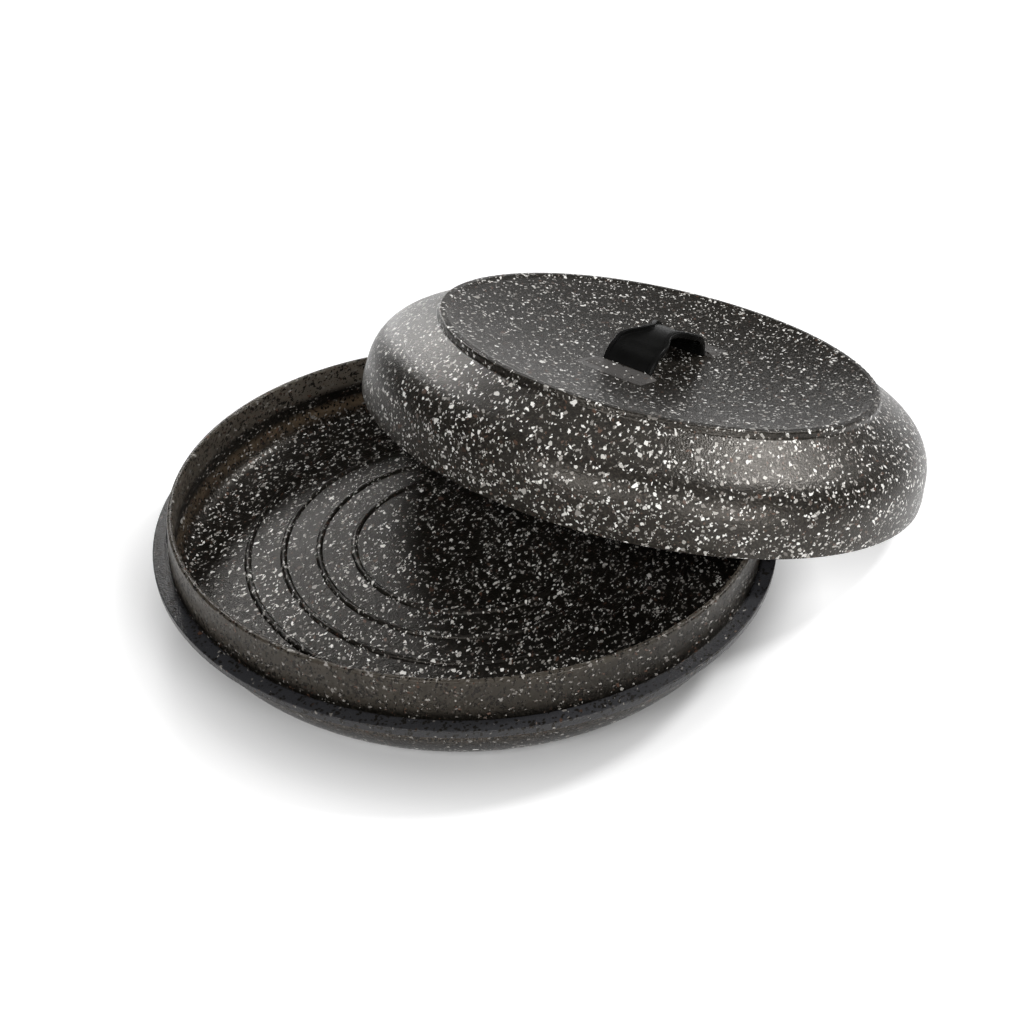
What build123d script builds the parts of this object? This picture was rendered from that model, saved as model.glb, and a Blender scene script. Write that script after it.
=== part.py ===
from build123d import *

import math
import os

# Microwave tortilla warmer, moulded in polypropylene: a shallow round base, a lid with a
# dished centre disc, and a strap handle that snaps under two hoods on the lid.
# Millimetres, +Z up. The origin is the centre of the base's foot ring, on the table.
# The lid is off: one edge is on the table and its rim leans on the base's rim.

os.makedirs("parts", exist_ok=True)

# Base
rim_radius = 130.4
rim_height = 46.6
rim_rounding = 1.1
wall = 2.6
upstand_height = 16.2
upstand_flare = 1.9
groove_width = 1.2
groove_depth = 0.8
ledge_width = 6.7
flange_thickness = 3.4
flange_overhang = 5.6
flange_rounding = 0.5
foot_angle = 57.5
bowl_wall = 3.0
floor_drop = 33.4
floor_thickness = 2.8
floor_rounding = 10.0
rib_margin = 27.4
rib_spacing = 16.0
rib_count = 4
rib_width = 3.2
rib_height = 1.1

# Lid
lid_overhang = 3.0
lid_wall = 2.6
band_height = 3.0
band_rounding = 6.0
seat_width = 4.2
seat_height = 2.2
wall_draft = 8.5
shoulder_height = 39.4
shoulder_width = 31.7
shoulder_slope = 28.0
shoulder_rounding = 24.0
step_height = 3.1
step_draft = 12.0
step_rounding = 1.4
crest_width = 3.2
crest_drop = 1.0
crest_rounding = 1.3
inner_rounding = 0.8
dish_depth = 9.8

# Handle
handle_span = 62.0
handle_rise = 17.2
handle_knee_rise = 11.8
handle_knee_inset = 3.4
handle_crown_share = 0.97
handle_knee_rounding = 16.0
strap_thickness = 3.2
strap_foot_width = 26.6
strap_waist_width = 17.4
strap_waist_length = 12.0
strap_foot_length = 10.0
strap_edge_rounding = 0.8
lip_width = 2.2
lip_height = 1.6
tab_length = 6.5
tab_thickness = 1.8

# Hoods
hood_width = 30.0
hood_base_width = 40.0
hood_length = 17.0
hood_height = 1.8
hood_rounding = 0.8
hood_embed = 0.65
tab_clearance = 0.3

# Parking of the lid beside the base
park_direction = 42.5
park_offset = 116.2
handle_angle = 12.5
rest_clearance = 0.3

# How close a measured edge has to be to its nominal place to be picked
tolerance = 0.01

root_radius = rim_radius + upstand_flare
flange_radius = root_radius + ledge_width
bowl_radius = flange_radius - flange_overhang
lid_radius = flange_radius + lid_overhang
disc_radius = lid_radius - shoulder_width
ledge_height = rim_height - upstand_height
flange_bottom = ledge_height - flange_thickness
floor_height = rim_height - floor_drop


def lean_gap(lean):
    """How far the lid's seat ring is above the base's rim, when it leans by this angle."""
    centre_height = rest_clearance + lid_radius * math.sin(lean)
    seat_radius = lid_radius - seat_width
    rim_top_radius = rim_radius - rim_rounding / 2
    low = 0.0
    high = math.pi
    for _ in range(60):
        turn = (low + high) / 2
        along = rim_top_radius * math.cos(turn) - park_offset
        across = rim_top_radius * math.sin(turn)
        drop = rim_height - centre_height
        inside_x = along * math.cos(lean) - drop * math.sin(lean)
        if math.hypot(inside_x, across) < seat_radius:
            low = turn
        else:
            high = turn
    return -(along * math.sin(lean) + drop * math.cos(lean))


def lean_angle():
    """The angle at which the lid touches the table at one edge and the base's rim at two points."""
    low = 0.0
    high = math.radians(60)
    for _ in range(60):
        lean = (low + high) / 2
        if lean_gap(lean) < rest_clearance:
            low = lean
        else:
            high = lean
    return lean


lean = lean_angle()
park_x = math.cos(math.radians(park_direction))
park_y = math.sin(math.radians(park_direction))
downhill = Vector(park_x * math.cos(lean), park_y * math.cos(lean), -math.sin(lean))
lid_axis = Vector(park_x * math.sin(lean), park_y * math.sin(lean), math.cos(lean))
lid_centre = Vector(
    park_offset * park_x,
    park_offset * park_y,
    rest_clearance + lid_radius * math.sin(lean),
)
lid_frame = Plane(
    origin=lid_centre,
    x_dir=downhill.rotate(Axis((0, 0, 0), lid_axis), handle_angle),
    z_dir=lid_axis,
)
lid_section = Plane(lid_frame.origin, x_dir=lid_frame.x_dir, z_dir=-lid_frame.y_dir)
lid_spin = Axis(lid_frame.origin, lid_frame.z_dir)
hood_section = Plane(lid_frame.origin, x_dir=lid_frame.y_dir, z_dir=lid_frame.x_dir)

# Base: one revolved wall with its flange, a floor across it, and raised ribs on the floor
bowl_curve = flange_bottom / math.sin(math.radians(foot_angle))
bowl_centre = bowl_radius - bowl_curve
inner_curve = bowl_curve - bowl_wall
inner_angle = math.degrees(math.asin(flange_bottom / inner_curve))
foot_outer = bowl_centre + bowl_curve * math.cos(math.radians(foot_angle))
foot_inner = bowl_centre + inner_curve * math.cos(math.radians(inner_angle))
floor_middle = floor_height - floor_thickness / 2
floor_reach = bowl_centre + math.sqrt(
    (inner_curve + bowl_wall / 2) ** 2 - (flange_bottom - floor_middle) ** 2
)

with BuildPart() as base:
    with BuildSketch(Plane.XZ):
        with BuildLine():
            Polyline(
                (bowl_centre + inner_curve, flange_bottom),
                (rim_radius - wall, rim_height),
                (rim_radius, rim_height),
                (root_radius, ledge_height - groove_depth),
                (root_radius + groove_width, ledge_height - groove_depth),
                (root_radius + groove_width, ledge_height),
                (flange_radius, ledge_height),
                (flange_radius, flange_bottom),
                (bowl_radius, flange_bottom),
            )
            CenterArc((bowl_centre, flange_bottom), bowl_curve, 0, -foot_angle)
            Line((foot_outer, 0), (foot_inner, 0))
            CenterArc((bowl_centre, flange_bottom), inner_curve, 0, -inner_angle)
        make_face()
    revolve(axis=Axis.Z)
    with BuildSketch(Plane.XY.offset(floor_height)):
        Circle(floor_reach)
    extrude(amount=-floor_thickness)
    inner_corner = [e for e in base.edges().filter_by(GeomType.CIRCLE)
                    if abs(e.center().Z - floor_height) < tolerance]
    fillet(inner_corner, floor_rounding)
    rim_edges = [e for e in base.edges().filter_by(GeomType.CIRCLE)
                 if abs(e.center().Z - rim_height) < tolerance]
    fillet(rim_edges, rim_rounding)
    flange_edges = [e for e in base.edges().filter_by(GeomType.CIRCLE)
                    if abs(e.radius - flange_radius) < tolerance]
    fillet(flange_edges, flange_rounding)
    with BuildSketch(Plane.XZ):
        for rib in range(rib_count):
            rib_radius = floor_reach - rib_margin - rib * rib_spacing
            with BuildLine():
                ThreePointArc(
                    (rib_radius - rib_width / 2, floor_height),
                    (rib_radius, floor_height + rib_height),
                    (rib_radius + rib_width / 2, floor_height),
                )
                Polyline(
                    (rib_radius + rib_width / 2, floor_height),
                    (rib_radius + rib_width / 2, floor_middle),
                    (rib_radius - rib_width / 2, floor_middle),
                    (rib_radius - rib_width / 2, floor_height),
                )
            make_face()
    revolve(axis=Axis.Z)
base.part.label = "base"
export_step(base.part, "parts/base.step")

# Lid: one revolved shell with a bead inside its rim, then a hood and a slot at each handle foot
wall_lean = math.tan(math.radians(wall_draft))
slope_fall = math.tan(math.radians(shoulder_slope))
slope_thickness = lid_wall / math.cos(math.radians(shoulder_slope))
crest_height = shoulder_height + step_height
crest_outer = disc_radius - step_height * math.tan(math.radians(step_draft))
dish_radius = crest_outer - 2 * crest_width
dish_edge = crest_height - crest_drop
dish_centre = crest_height - dish_depth
dish_fall = dish_edge - dish_centre
dish_curve = (dish_radius**2 + dish_fall**2) / (2 * dish_fall)


def shoulder_corner(depth):
    """Where the wall's line meets the shoulder's line, this deep under the outer face."""
    wall_reach = lid_radius + band_height * wall_lean - depth / math.cos(math.radians(wall_draft))
    slope_reach = shoulder_height - depth / math.cos(math.radians(shoulder_slope))
    height = (slope_reach - (wall_reach - disc_radius) * slope_fall) / (1 - wall_lean * slope_fall)
    return (wall_reach - height * wall_lean, height)


def dish_surface(radius):
    """Height of the disc's top face at this radius."""
    return dish_centre + dish_curve - math.sqrt(dish_curve**2 - radius**2)


foot_reach = handle_span / 2
tab_bottom = dish_surface(foot_reach) - lid_wall
tab_top = tab_bottom + tab_thickness
hood_face = foot_reach + tab_clearance
hood_top = dish_surface(foot_reach) + hood_height
hood_root = dish_surface(foot_reach) - hood_embed
hood_fall = hood_top - hood_root
hood_curve = (hood_length**2 + hood_fall**2) / (2 * hood_fall)
leg_lean = handle_knee_inset / handle_knee_rise
leg_width = strap_thickness * math.hypot(1, leg_lean)
slot_inner = foot_reach - leg_width - (lid_wall - tab_thickness) * leg_lean - tab_clearance
slot_outer = foot_reach + tab_length + tab_clearance
slot_width = strap_foot_width + 2 * tab_clearance

with BuildPart() as hoods:
    with BuildSketch(lid_section):
        for side in (-1, 1):
            with BuildLine():
                roof = RadiusArc(
                    (side * (hood_face + hood_length), hood_root),
                    (side * hood_face, hood_top),
                    -side * hood_curve,
                )
                Polyline(roof @ 1, (side * hood_face, hood_root), roof @ 0)
            make_face()
    extrude(amount=hood_base_width / 2, both=True)
    with BuildSketch(hood_section):
        with BuildLine():
            Polyline(
                (-hood_base_width / 2, hood_root),
                (hood_base_width / 2, hood_root),
                (hood_width / 2, hood_top),
                (-hood_width / 2, hood_top),
                close=True,
            )
        make_face()
    extrude(amount=hood_face + hood_length, both=True, mode=Mode.INTERSECT)
    roof_edges = hoods.edges().filter_by(lambda edge: edge.geom_type != GeomType.LINE)
    fillet(roof_edges, hood_rounding)

with BuildPart() as lid:
    with BuildSketch(lid_section):
        with BuildLine():
            FilletPolyline(
                (lid_radius, 0),
                (lid_radius, band_height),
                shoulder_corner(0),
                (disc_radius, shoulder_height),
                (crest_outer, crest_height),
                (crest_outer - crest_width, crest_height),
                (dish_radius, dish_edge),
                radius=[band_rounding, shoulder_rounding, step_rounding, crest_rounding, crest_rounding],
            )
            ThreePointArc(
                (dish_radius, dish_edge),
                (dish_radius / 2, dish_surface(dish_radius / 2)),
                (0, dish_centre),
            )
            Line((0, dish_centre), (0, dish_centre - lid_wall))
            ThreePointArc(
                (0, dish_centre - lid_wall),
                (dish_radius / 2, dish_surface(dish_radius / 2) - lid_wall),
                (dish_radius, dish_edge - lid_wall),
            )
            FilletPolyline(
                (dish_radius, dish_edge - lid_wall),
                (crest_outer - lid_wall, crest_height - lid_wall),
                (disc_radius - lid_wall, shoulder_height - slope_thickness + lid_wall * slope_fall),
                shoulder_corner(lid_wall),
                (lid_radius - lid_wall, band_height),
                (lid_radius - lid_wall, 0),
                radius=[inner_rounding, inner_rounding, shoulder_rounding - lid_wall, band_rounding],
            )
            Line((lid_radius - lid_wall, 0), (lid_radius, 0))
        make_face()
    revolve(axis=lid_spin)
    with BuildSketch(lid_section):
        with BuildLine():
            Polyline(
                (lid_radius - lid_wall / 2, 0),
                (lid_radius - lid_wall / 2, seat_height + seat_width),
                (lid_radius - lid_wall, seat_height + seat_width - lid_wall),
                (lid_radius - seat_width, seat_height),
                (lid_radius - seat_width, 0),
                close=True,
            )
        make_face()
    revolve(axis=lid_spin)
    add(hoods.part)
    for side in (-1, 1):
        with BuildSketch(lid_frame.offset(tab_bottom - lid_wall)):
            with Locations((side * (slot_inner + slot_outer) / 2, 0)):
                Rectangle(slot_outer - slot_inner, slot_width)
        extrude(amount=lid_wall + tab_thickness + tab_clearance, mode=Mode.SUBTRACT)
        with BuildSketch(lid_frame.offset(tab_bottom)):
            with Locations((side * (slot_inner + hood_face) / 2, 0)):
                Rectangle(hood_face - slot_inner, slot_width)
        extrude(amount=hood_top - tab_bottom, mode=Mode.SUBTRACT)
lid.part.label = "lid"
export_step(lid.part, "parts/lid.step")


# Handle: a strap bent over the disc, narrow at the middle, with a tab under each hood
knee_reach = foot_reach - handle_knee_inset
knee_height = tab_top + handle_knee_rise
leg_reach = foot_reach + handle_knee_inset
leg_height = tab_top - handle_knee_rise
strap_corners = [
    (-leg_reach, leg_height),
    (-knee_reach, knee_height),
    (0, tab_top + handle_rise),
    (knee_reach, knee_height),
    (leg_reach, leg_height),
]
crown_rounding = handle_crown_share * handle_span
strap_bends = [handle_knee_rounding, crown_rounding, handle_knee_rounding]
dip_corners = [(along, height - lip_height) for along, height in strap_corners]
waist_reach = strap_waist_length / 2
taper_reach = foot_reach - strap_foot_length


def strap_side(side, inset):
    """Points of one long side of the strap in plan, from foot to foot, this far in from its edge."""
    foot = side * (strap_foot_width / 2 - inset)
    waist = side * (strap_waist_width / 2 - inset)
    return [(-taper_reach, foot), (-waist_reach, waist), (waist_reach, waist), (taper_reach, foot)]


with BuildPart() as recess:
    with BuildSketch(lid_section):
        with BuildLine():
            FilletPolyline(*strap_corners, radius=strap_bends)
            Line(strap_corners[-1], strap_corners[0])
        make_face()
        with BuildLine():
            FilletPolyline(*dip_corners, radius=strap_bends)
            Line(dip_corners[-1], dip_corners[0])
        make_face(mode=Mode.SUBTRACT)
    extrude(amount=strap_foot_width, both=True)
    with BuildSketch(lid_frame.offset(tab_bottom)):
        with BuildLine():
            far_side = Spline(*strap_side(1, lip_width), tangents=[(1, 0), (1, 0)])
            near_side = Spline(*strap_side(-1, lip_width), tangents=[(1, 0), (1, 0)])
            for end, turn in ((0, -1), (1, 1)):
                reach = turn * leg_reach
                Polyline(
                    far_side @ end,
                    (reach, (far_side @ end).Y),
                    (reach, (near_side @ end).Y),
                    near_side @ end,
                )
        make_face()
    extrude(amount=lid_radius, mode=Mode.INTERSECT)

with BuildPart() as handle:
    with BuildSketch(lid_section):
        with BuildLine():
            FilletPolyline(*strap_corners, radius=strap_bends)
            Line(strap_corners[-1], strap_corners[0])
        make_face()
        offset(amount=-strap_thickness, mode=Mode.SUBTRACT)
    extrude(amount=strap_foot_width, both=True)
    with BuildSketch(lid_frame.offset(tab_bottom)):
        with BuildLine():
            far_side = Spline(*strap_side(1, 0), tangents=[(1, 0), (1, 0)])
            near_side = Spline(*strap_side(-1, 0), tangents=[(1, 0), (1, 0)])
            for end, turn in ((0, -1), (1, 1)):
                reach = turn * leg_reach
                Polyline(
                    far_side @ end,
                    (reach, (far_side @ end).Y),
                    (reach, (near_side @ end).Y),
                    near_side @ end,
                )
        make_face()
    extrude(amount=lid_radius, mode=Mode.INTERSECT)
    side_walls = handle.faces().filter_by(lambda face: abs(face.normal_at().dot(lid_axis)) < tolerance)
    long_edges = [edge for edge in side_walls.edges()
                  if abs(edge.tangent_at(0.5).dot(lid_axis)) < 1 - tolerance
                  and lid_frame.to_local_coords(edge @ 0.5).Z > tab_top]
    fillet(long_edges, strap_edge_rounding)
    add(recess.part, mode=Mode.SUBTRACT)
    with BuildSketch(lid_frame.offset(tab_bottom)):
        for side in (-1, 1):
            with Locations((side * (slot_inner + slot_outer) / 2, 0)):
                Rectangle(slot_outer - slot_inner - 2 * tab_clearance, strap_foot_width)
    extrude(amount=tab_thickness)
handle.part.label = "handle"
export_step(handle.part, "parts/handle.step")
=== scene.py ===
import math

import bpy
from mathutils import Matrix, Vector

# Looks for the tortilla warmer: a speckled plastic base and lid, and a black strap handle.
# Metres, in the CAD frame: +Z up, the origin at the centre of the base's foot ring.
# Materials read Object coordinates, which are the CAD frame's at rest and move with the lid.

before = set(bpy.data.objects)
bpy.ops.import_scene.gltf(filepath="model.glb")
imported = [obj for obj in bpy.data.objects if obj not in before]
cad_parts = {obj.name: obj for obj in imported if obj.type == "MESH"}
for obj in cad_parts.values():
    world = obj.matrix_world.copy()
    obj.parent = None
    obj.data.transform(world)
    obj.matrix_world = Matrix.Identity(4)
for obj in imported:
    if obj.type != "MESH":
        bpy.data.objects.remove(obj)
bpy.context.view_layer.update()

# Camera: its focal length in pixels of the image's width
image_width = 1024
focal_pixels = 1150
sensor_width = 36.0
camera_place = Vector((0.0204, -0.4292, 0.3315))
camera_tilt = math.radians(35.2)
camera_roll = math.radians(0.32)

# Lamps on a dome round the warmer: azimuth and elevation in degrees, size and power
lamp_middle = Vector((0.04, 0.04, 0.03))
lamp_distance = 1.5
lamps = {
    "low_back": (84, 9, 0.45, 0.3),
    "behind": (112, 5, 0.35, 1.4),
    "back": (112, 29, 0.30, 5.0),
    "front_left": (248, 40, 0.60, 11.0),
    "front_right": (304, 22, 0.60, 11.5),
    "high_right": (23, 47, 0.30, 14.0),
    "top": (90, 80, 0.60, 2.0),
}

# World: a dim room, a little brighter at the horizon; its levels by the height of a direction
world_levels = [(0.0, 0.12), (0.12, 0.08), (0.35, 0.03)]

# Floor: its own colour, and a glow for the rays that see it, by distance from the origin
# The glow is nothing close round the base and rises outwards, so it paints a shadow round it
floor_size = 8.0
floor_level = 0.65
floor_glow_and_painted_shadow = [
    (0.126, 0.0), (0.145, 0.30), (0.165, 0.62), (0.22, 0.52),
    (0.40, 0.46), (0.80, 0.50), (1.0, 0.75),
]

# Flakes: how each layer is turned, the sizes of its cells, the share of them that are flakes,
# and how much is trimmed off their edges on average, as a share of a cell
flake_layers = [
    ((0.3, 0.8, 0.1), (0.0007, 0.0014, 0.0006), 0.12, 0.06),
    ((1.2, 0.2, 0.7), (0.0019, 0.0009, 0.0008), 0.09, 0.07),
    ((0.5, 1.4, 2.1), (0.0010, 0.0014, 0.0024), 0.075, 0.08),
    ((2.2, 0.6, 1.3), (0.0027, 0.0013, 0.0017), 0.05, 0.10),
    ((0.9, 2.5, 0.4), (0.0022, 0.0039, 0.0020), 0.027, 0.13),
]
dark_flakes = ((1.7, 0.4, 0.9), (0.0012, 0.0018, 0.0010), 0.24, 0.07)

# Flake colours by each flake's own random number: nearly black, reddish brown, grey, off-white
flake_stops = [
    (0.0, (0.006, 0.0055, 0.005)),
    (0.26, (0.012, 0.010, 0.009)),
    (0.33, (0.085, 0.045, 0.030)),
    (0.38, (0.12, 0.11, 0.10)),
    (0.62, (0.34, 0.325, 0.30)),
    (0.80, (0.66, 0.645, 0.61)),
    (1.0, (0.84, 0.83, 0.80)),
]

# Noises: scale, detail and roughness
wobble_noise = (1300.0, 3.0, 0.6)
mottle_noise = (950.0, 3.0, 0.65)
cloud_noise = (60.0, 3.0, 0.6)
grain_noise = (1100.0, 2.0, 0.6)
handle_cloud_noise = (90.0, 3.0, 0.5)
handle_grain_noise = (2500.0, 2.0, 0.5)

# Speckled plastic: how far the wobble bends the flakes' edges, how the mottle shades the
# matrix between the flakes, and the strength and depth of the grain
wobble_reach = 0.0008
mottle_shades = [(0.38, 0.35), (0.5, 1.0), (0.66, 3.0)]
grain_bump = (1.0, 0.00024)
warm_tint = (1.0, 0.93, 0.84, 1.0)

# Base, from part.py: the flange and the ledge on it, the rim's top, the root of the upstand,
# the middle of the upstand's wall, and a height just above the floor's rings
flange_bottom = 0.0270
ledge_top = 0.0304
rim_top = 0.0466
ledge_radius = 0.1325
outside_radius = 0.1290
walls_bottom = 0.016
face_margin = 0.0004

# Base: its plastic, with fewer flakes outside and on the ledge, and darker ones on the walls.
# Roughness goes from the first value to the second.
base_matrix = (0.0055, 0.0048, 0.0038)
base_roughness = (0.28, 0.36)
base_shine = {"Specular IOR Level": 0.25, "Specular Tint": warm_tint}
ledge_color = (0.026, 0.0265, 0.0295)
base_flake_scale = 0.85
base_flake_share = 0.88
fewer_outside = 0.3
fewer_on_ledge = 0.75
base_flake_tone = 0.95
darker_on_walls = 0.35

# Base: the light that its thin walls let through, by height as a share of the rim's
no_glow = (0.0, 0.0, 0.0)
wall_glow = (0.27, 0.225, 0.175)
upstand_glow = (0.25, 0.23, 0.205)
glow_stops = [
    (0.30, no_glow), (0.45, wall_glow), (0.50, wall_glow), (0.57, no_glow),
    (0.66, no_glow), (0.72, upstand_glow), (1.0, upstand_glow),
]

# Lid, from part.py: the middle of its disc, the handle's direction, and where the hoods are
# along and across it, from the middle
disc_middle = (0.0905, 0.083, 0.062)
handle_turn = math.radians(55)
hood_from = 0.0303
hood_to = 0.0462
hood_half_width = 0.0182

# Lid: its plastic, with fewer flakes on the disc and on the hoods. The share of flakes rises
# between two distances from the disc's middle.
lid_matrix = (0.0110, 0.0095, 0.0077)
lid_roughness = (0.27, 0.35)
lid_shine = {"Specular IOR Level": 0.38, "Specular Tint": warm_tint}
# The hoods are painted lighter than the plastic round them: a painted sheen
hood_painted_sheen = (0.075, 0.071, 0.068)
lid_flake_scale = 1.0
disc_flakes_to = 0.095
side_flakes_from = 0.125
disc_flake_share = 0.6
side_flake_share = 1.1
fewer_on_hoods = 0.35

# Handle
handle_stops = [(0.3, (0.002, 0.002, 0.0018)), (0.7, (0.004, 0.004, 0.0038))]
handle_roughness = (0.36, 0.44)
handle_shine = {"Specular IOR Level": 0.10}
handle_bump = (0.5, 0.00006)


def grey(level):
    return (level, level, level)


def set_stops(ramp, stops):
    """Put the stops, each a place and a colour, on a colour ramp."""
    while len(ramp.elements) < len(stops):
        ramp.elements.new(1.0)
    for element, (place, color) in zip(ramp.elements, stops):
        element.position = place
        element.color = (*color, 1.0)


class Nodes:
    """A material's node tree, with short calls to add and join nodes."""

    def __init__(self, name):
        self.material = bpy.data.materials.new(name)
        self.material.use_nodes = True
        self.tree = self.material.node_tree
        self.tree.nodes.clear()
        self.output = self.add("ShaderNodeOutputMaterial")
        self.place = self.add("ShaderNodeTexCoord").outputs["Object"]

    def add(self, kind, inputs=None, **settings):
        node = self.tree.nodes.new(kind)
        for key, value in settings.items():
            setattr(node, key, value)
        for key, value in (inputs or {}).items():
            if isinstance(value, bpy.types.NodeSocket):
                self.tree.links.new(value, node.inputs[key])
            else:
                node.inputs[key].default_value = value
        return node

    def math(self, operation, first, second=0.0):
        return self.add("ShaderNodeMath", {0: first, 1: second}, operation=operation).outputs[0]

    def vector(self, operation, inputs):
        return self.add("ShaderNodeVectorMath", inputs, operation=operation)

    def within(self, *masks):
        """Where all of the masks are 1."""
        whole = masks[0]
        for mask in masks[1:]:
            whole = self.math("MULTIPLY", whole, mask)
        return whole

    def mix(self, share, first, second):
        node = self.add("ShaderNodeMix", {0: share, 6: first, 7: second}, data_type="RGBA")
        return node.outputs[2]

    def ramp(self, value, stops):
        node = self.add("ShaderNodeValToRGB", {"Fac": value})
        set_stops(node.color_ramp, stops)
        return node.outputs["Color"]

    def noise(self, scale, detail, roughness):
        return self.add("ShaderNodeTexNoise", {
            "Vector": self.place, "Scale": scale, "Detail": detail, "Roughness": roughness,
        }).outputs

    def moulded(self, color, clouds, roughness, grain, bump, shine):
        """A moulded surface: its roughness follows the clouds, and the grain gives it a bump."""
        rough_from, rough_to = roughness
        strength, depth = bump
        rough = self.add("ShaderNodeMapRange", {
            "Value": clouds, "To Min": rough_from, "To Max": rough_to,
        })
        normal = self.add("ShaderNodeBump", {
            "Height": grain, "Strength": strength, "Distance": depth,
        })
        return self.add("ShaderNodeBsdfPrincipled", {
            "Base Color": color, "Roughness": rough.outputs[0], "Normal": normal.outputs[0],
        } | shine).outputs[0]

    def surface(self, shader):
        self.tree.links.new(shader, self.output.inputs["Surface"])
        return self.material


def mottled(nodes, matrix):
    """The plastic between the flakes."""
    return nodes.ramp(nodes.noise(*mottle_noise)["Fac"], [
        (place, tuple(shade * part for part in matrix)) for place, shade in mottle_shades
    ])


def bent_place(nodes):
    """Places moved a little at random, so that the flakes get ragged edges."""
    wobble = nodes.noise(*wobble_noise)["Color"]
    shift = nodes.vector("SUBTRACT", {0: wobble, 1: grey(0.5)}).outputs[0]
    shift = nodes.vector("SCALE", {0: shift, "Scale": wobble_reach}).outputs[0]
    return nodes.vector("ADD", {0: nodes.place, 1: shift}).outputs[0]


def flakes(nodes, place, turn, sizes, share, trim):
    """One layer of flakes: a mask of the chosen cells, and each cell's own random number."""
    turned = nodes.add("ShaderNodeMapping", {
        "Vector": place, "Rotation": turn, "Scale": sizes,
    }, vector_type="TEXTURE")
    cell_inputs = {"Vector": turned.outputs[0], "Scale": 1.0, "Randomness": 1.0}
    cells = nodes.add("ShaderNodeTexVoronoi", cell_inputs)
    edges = nodes.add("ShaderNodeTexVoronoi", cell_inputs, feature="DISTANCE_TO_EDGE")
    random = nodes.add("ShaderNodeSeparateColor", {"Color": cells.outputs["Color"]})
    chosen = nodes.math("GREATER_THAN", random.outputs[0], nodes.math("SUBTRACT", 1.0, share))
    trimmed = nodes.math("MULTIPLY", random.outputs[2], 2.0 * trim)
    inside = nodes.math("GREATER_THAN", edges.outputs["Distance"], trimmed)
    return nodes.within(chosen, inside), random.outputs[1]


def speckle(nodes, place, color, scale, share_of_flakes, tone_of_flakes=1.0):
    """All the layers of flakes laid over the colour, and a mask of them."""
    all_flakes = 0.0
    for turn, sizes, share, trim in flake_layers:
        share = nodes.math("MULTIPLY", share, share_of_flakes)
        sizes = tuple(scale * size for size in sizes)
        mask, tone = flakes(nodes, place, turn, sizes, share, trim)
        tone = nodes.math("MULTIPLY", tone, tone_of_flakes)
        color = nodes.mix(mask, color, nodes.ramp(tone, flake_stops))
        all_flakes = nodes.math("MAXIMUM", all_flakes, mask)
    return color, all_flakes


def base_plastic(name):
    """Dark plastic full of chips, whose thin walls let light through between them."""
    nodes = Nodes(name)
    x, y, z = nodes.add("ShaderNodeSeparateXYZ", {0: nodes.place}).outputs
    flat = nodes.add("ShaderNodeCombineXYZ", {0: x, 1: y}).outputs[0]
    radius = nodes.vector("LENGTH", {0: flat}).outputs["Value"]
    ledge = nodes.within(
        nodes.math("GREATER_THAN", radius, ledge_radius),
        nodes.math("LESS_THAN", z, ledge_top + face_margin),
        nodes.math("GREATER_THAN", z, flange_bottom - face_margin),
    )
    outside = nodes.math("GREATER_THAN", radius, outside_radius)
    walls = nodes.math("MAXIMUM", outside, nodes.math("GREATER_THAN", z, walls_bottom))
    fewer = nodes.math(
        "MAXIMUM",
        nodes.math("MULTIPLY", outside, fewer_outside),
        nodes.math("MULTIPLY", ledge, fewer_on_ledge),
    )
    share = nodes.math("SUBTRACT", base_flake_share, fewer)
    darker = nodes.math("MULTIPLY", walls, darker_on_walls)
    tone = nodes.math("SUBTRACT", base_flake_tone, darker)

    place = bent_place(nodes)
    color = nodes.mix(ledge, mottled(nodes, base_matrix), (*ledge_color, 1.0))
    dark, _ = flakes(nodes, place, *dark_flakes)
    color = nodes.mix(dark, color, (*base_matrix, 1.0))
    color, light = speckle(nodes, place, color, base_flake_scale, share, tone)
    shader = nodes.moulded(color, nodes.noise(*cloud_noise)["Fac"], base_roughness,
                           nodes.noise(*grain_noise)["Fac"], grain_bump, base_shine)

    thin = nodes.ramp(nodes.math("DIVIDE", z, rim_top), glow_stops)
    thin = nodes.mix(nodes.math("MAXIMUM", dark, light), thin, (*no_glow, 1.0))
    through = nodes.add("ShaderNodeBsdfTranslucent", {"Color": thin}).outputs[0]
    return nodes.surface(nodes.add("ShaderNodeAddShader", {0: shader, 1: through}).outputs[0])


def lid_plastic(name):
    """Dark plastic full of chips, with fewer of them on the disc, and hoods painted lighter as a
    painted sheen.
    """
    nodes = Nodes(name)
    on_disc = nodes.add("ShaderNodeMapping", {
        "Vector": nodes.place, "Location": disc_middle, "Rotation": (0.0, 0.0, handle_turn),
    }, vector_type="TEXTURE")
    along, across, _ = nodes.add("ShaderNodeSeparateXYZ", {0: on_disc.outputs[0]}).outputs
    along = nodes.math("ABSOLUTE", along)
    hoods = nodes.within(
        nodes.math("GREATER_THAN", along, hood_from),
        nodes.math("LESS_THAN", along, hood_to),
        nodes.math("LESS_THAN", nodes.math("ABSOLUTE", across), hood_half_width),
    )
    from_disc = nodes.vector("DISTANCE", {0: nodes.place, 1: disc_middle}).outputs["Value"]
    share = nodes.add("ShaderNodeMapRange", {
        "Value": from_disc, "From Min": disc_flakes_to, "From Max": side_flakes_from,
        "To Min": disc_flake_share, "To Max": side_flake_share,
    }).outputs[0]
    share = nodes.math("SUBTRACT", share, nodes.math("MULTIPLY", hoods, fewer_on_hoods))

    # Painted sheen: the hoods get a lighter colour than the plastic
    color = nodes.mix(hoods, mottled(nodes, lid_matrix), (*hood_painted_sheen, 1.0))
    color, _ = speckle(nodes, bent_place(nodes), color, lid_flake_scale, share)
    shader = nodes.moulded(color, nodes.noise(*cloud_noise)["Fac"], lid_roughness,
                           nodes.noise(*grain_noise)["Fac"], grain_bump, lid_shine)
    return nodes.surface(shader)


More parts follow.
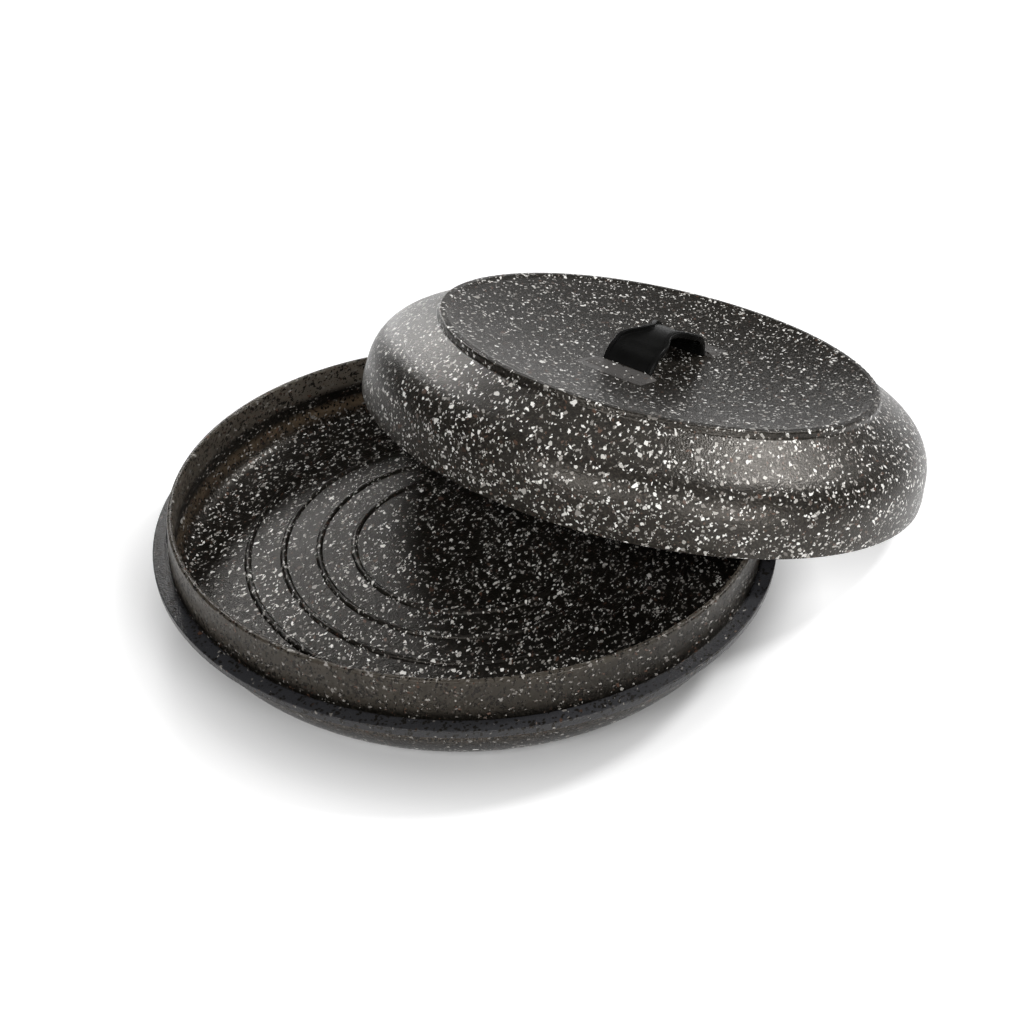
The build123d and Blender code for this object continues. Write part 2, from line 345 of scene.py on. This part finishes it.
def handle_plastic(name):
    """Plain black plastic with a very fine grain."""
    nodes = Nodes(name)
    clouds = nodes.noise(*handle_cloud_noise)["Fac"]
    color = nodes.ramp(clouds, handle_stops)
    shader = nodes.moulded(color, clouds, handle_roughness,
                           nodes.noise(*handle_grain_noise)["Fac"], handle_bump, handle_shine)
    return nodes.surface(shader)


def floor_surface(name):
    """Matt floor that takes shadows, white to the rays that see it, and its glow fades out near
    the base in a painted shadow.
    """
    nodes = Nodes(name)
    rays = nodes.add("ShaderNodeLightPath").outputs
    seen = nodes.math("MAXIMUM", rays["Is Camera Ray"], rays["Is Glossy Ray"])
    seen = nodes.math("MAXIMUM", seen, rays["Is Transmission Ray"])
    distance = nodes.vector("LENGTH", {0: nodes.place}).outputs["Value"]
    # Painted shadow: the glow is nothing close round the base and rises outwards
    glow_with_painted_shadow = nodes.ramp(distance, [(radius, grey(level)) for radius, level in floor_glow_and_painted_shadow])
    matt = nodes.add("ShaderNodeBsdfDiffuse", {"Color": (*grey(floor_level), 1.0)})
    glow = nodes.add("ShaderNodeEmission", {"Color": glow_with_painted_shadow, "Strength": seen})
    both = nodes.add("ShaderNodeAddShader", {0: matt.outputs[0], 1: glow.outputs[0]})
    return nodes.surface(both.outputs[0])


def wear(node, material):
    """Give a CAD node its one material."""
    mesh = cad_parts[node].data
    mesh.materials.clear()
    mesh.materials.append(material)


wear("base", base_plastic("base_plastic"))
wear("lid", lid_plastic("lid_plastic"))
wear("handle", handle_plastic("black_plastic"))

# Floor
half = floor_size / 2
floor_mesh = bpy.data.meshes.new("floor")
floor_mesh.from_pydata(
    [(-half, -half, 0), (half, -half, 0), (half, half, 0), (-half, half, 0)],
    [], [(0, 1, 2, 3)],
)
floor_mesh.materials.append(floor_surface("floor"))
floor = bpy.data.objects.new("floor", floor_mesh)
bpy.context.scene.collection.objects.link(floor)

# World
world = bpy.data.worlds.new("studio")
world.use_nodes = True
bpy.context.scene.world = world
sky = world.node_tree
background = sky.nodes["Background"]
direction = sky.nodes.new("ShaderNodeTexCoord")
parts = sky.nodes.new("ShaderNodeSeparateXYZ")
levels = sky.nodes.new("ShaderNodeValToRGB")
set_stops(levels.color_ramp, [(height, grey(level)) for height, level in world_levels])
sky.links.new(direction.outputs["Generated"], parts.inputs[0])
sky.links.new(parts.outputs["Z"], levels.inputs["Fac"])
sky.links.new(levels.outputs["Color"], background.inputs["Color"])
background.inputs["Strength"].default_value = 1.0

# Lamps, each facing the middle of the dome
for name, (azimuth, elevation, size, power) in lamps.items():
    data = bpy.data.lights.new(name, "AREA")
    data.shape = "DISK"
    data.size = size
    data.energy = power
    lamp = bpy.data.objects.new(name, data)
    bpy.context.scene.collection.objects.link(lamp)
    lamp.matrix_world = (Matrix.Translation(lamp_middle)
                         @ Matrix.Rotation(math.radians(azimuth), 4, "Z")
                         @ Matrix.Rotation(math.radians(90 - elevation), 4, "Y")
                         @ Matrix.Translation((0, 0, lamp_distance)))

# Camera
camera_data = bpy.data.cameras.new("camera")
camera_data.sensor_width = sensor_width
camera_data.lens = sensor_width * focal_pixels / image_width
camera = bpy.data.objects.new("camera", camera_data)
bpy.context.scene.collection.objects.link(camera)
camera.matrix_world = (Matrix.Translation(camera_place)
                       @ Matrix.Rotation(math.pi / 2 - camera_tilt, 4, "X")
                       @ Matrix.Rotation(camera_roll, 4, "Z"))
bpy.context.scene.camera = camera
bpy.context.scene.view_settings.view_transform = "Standard"
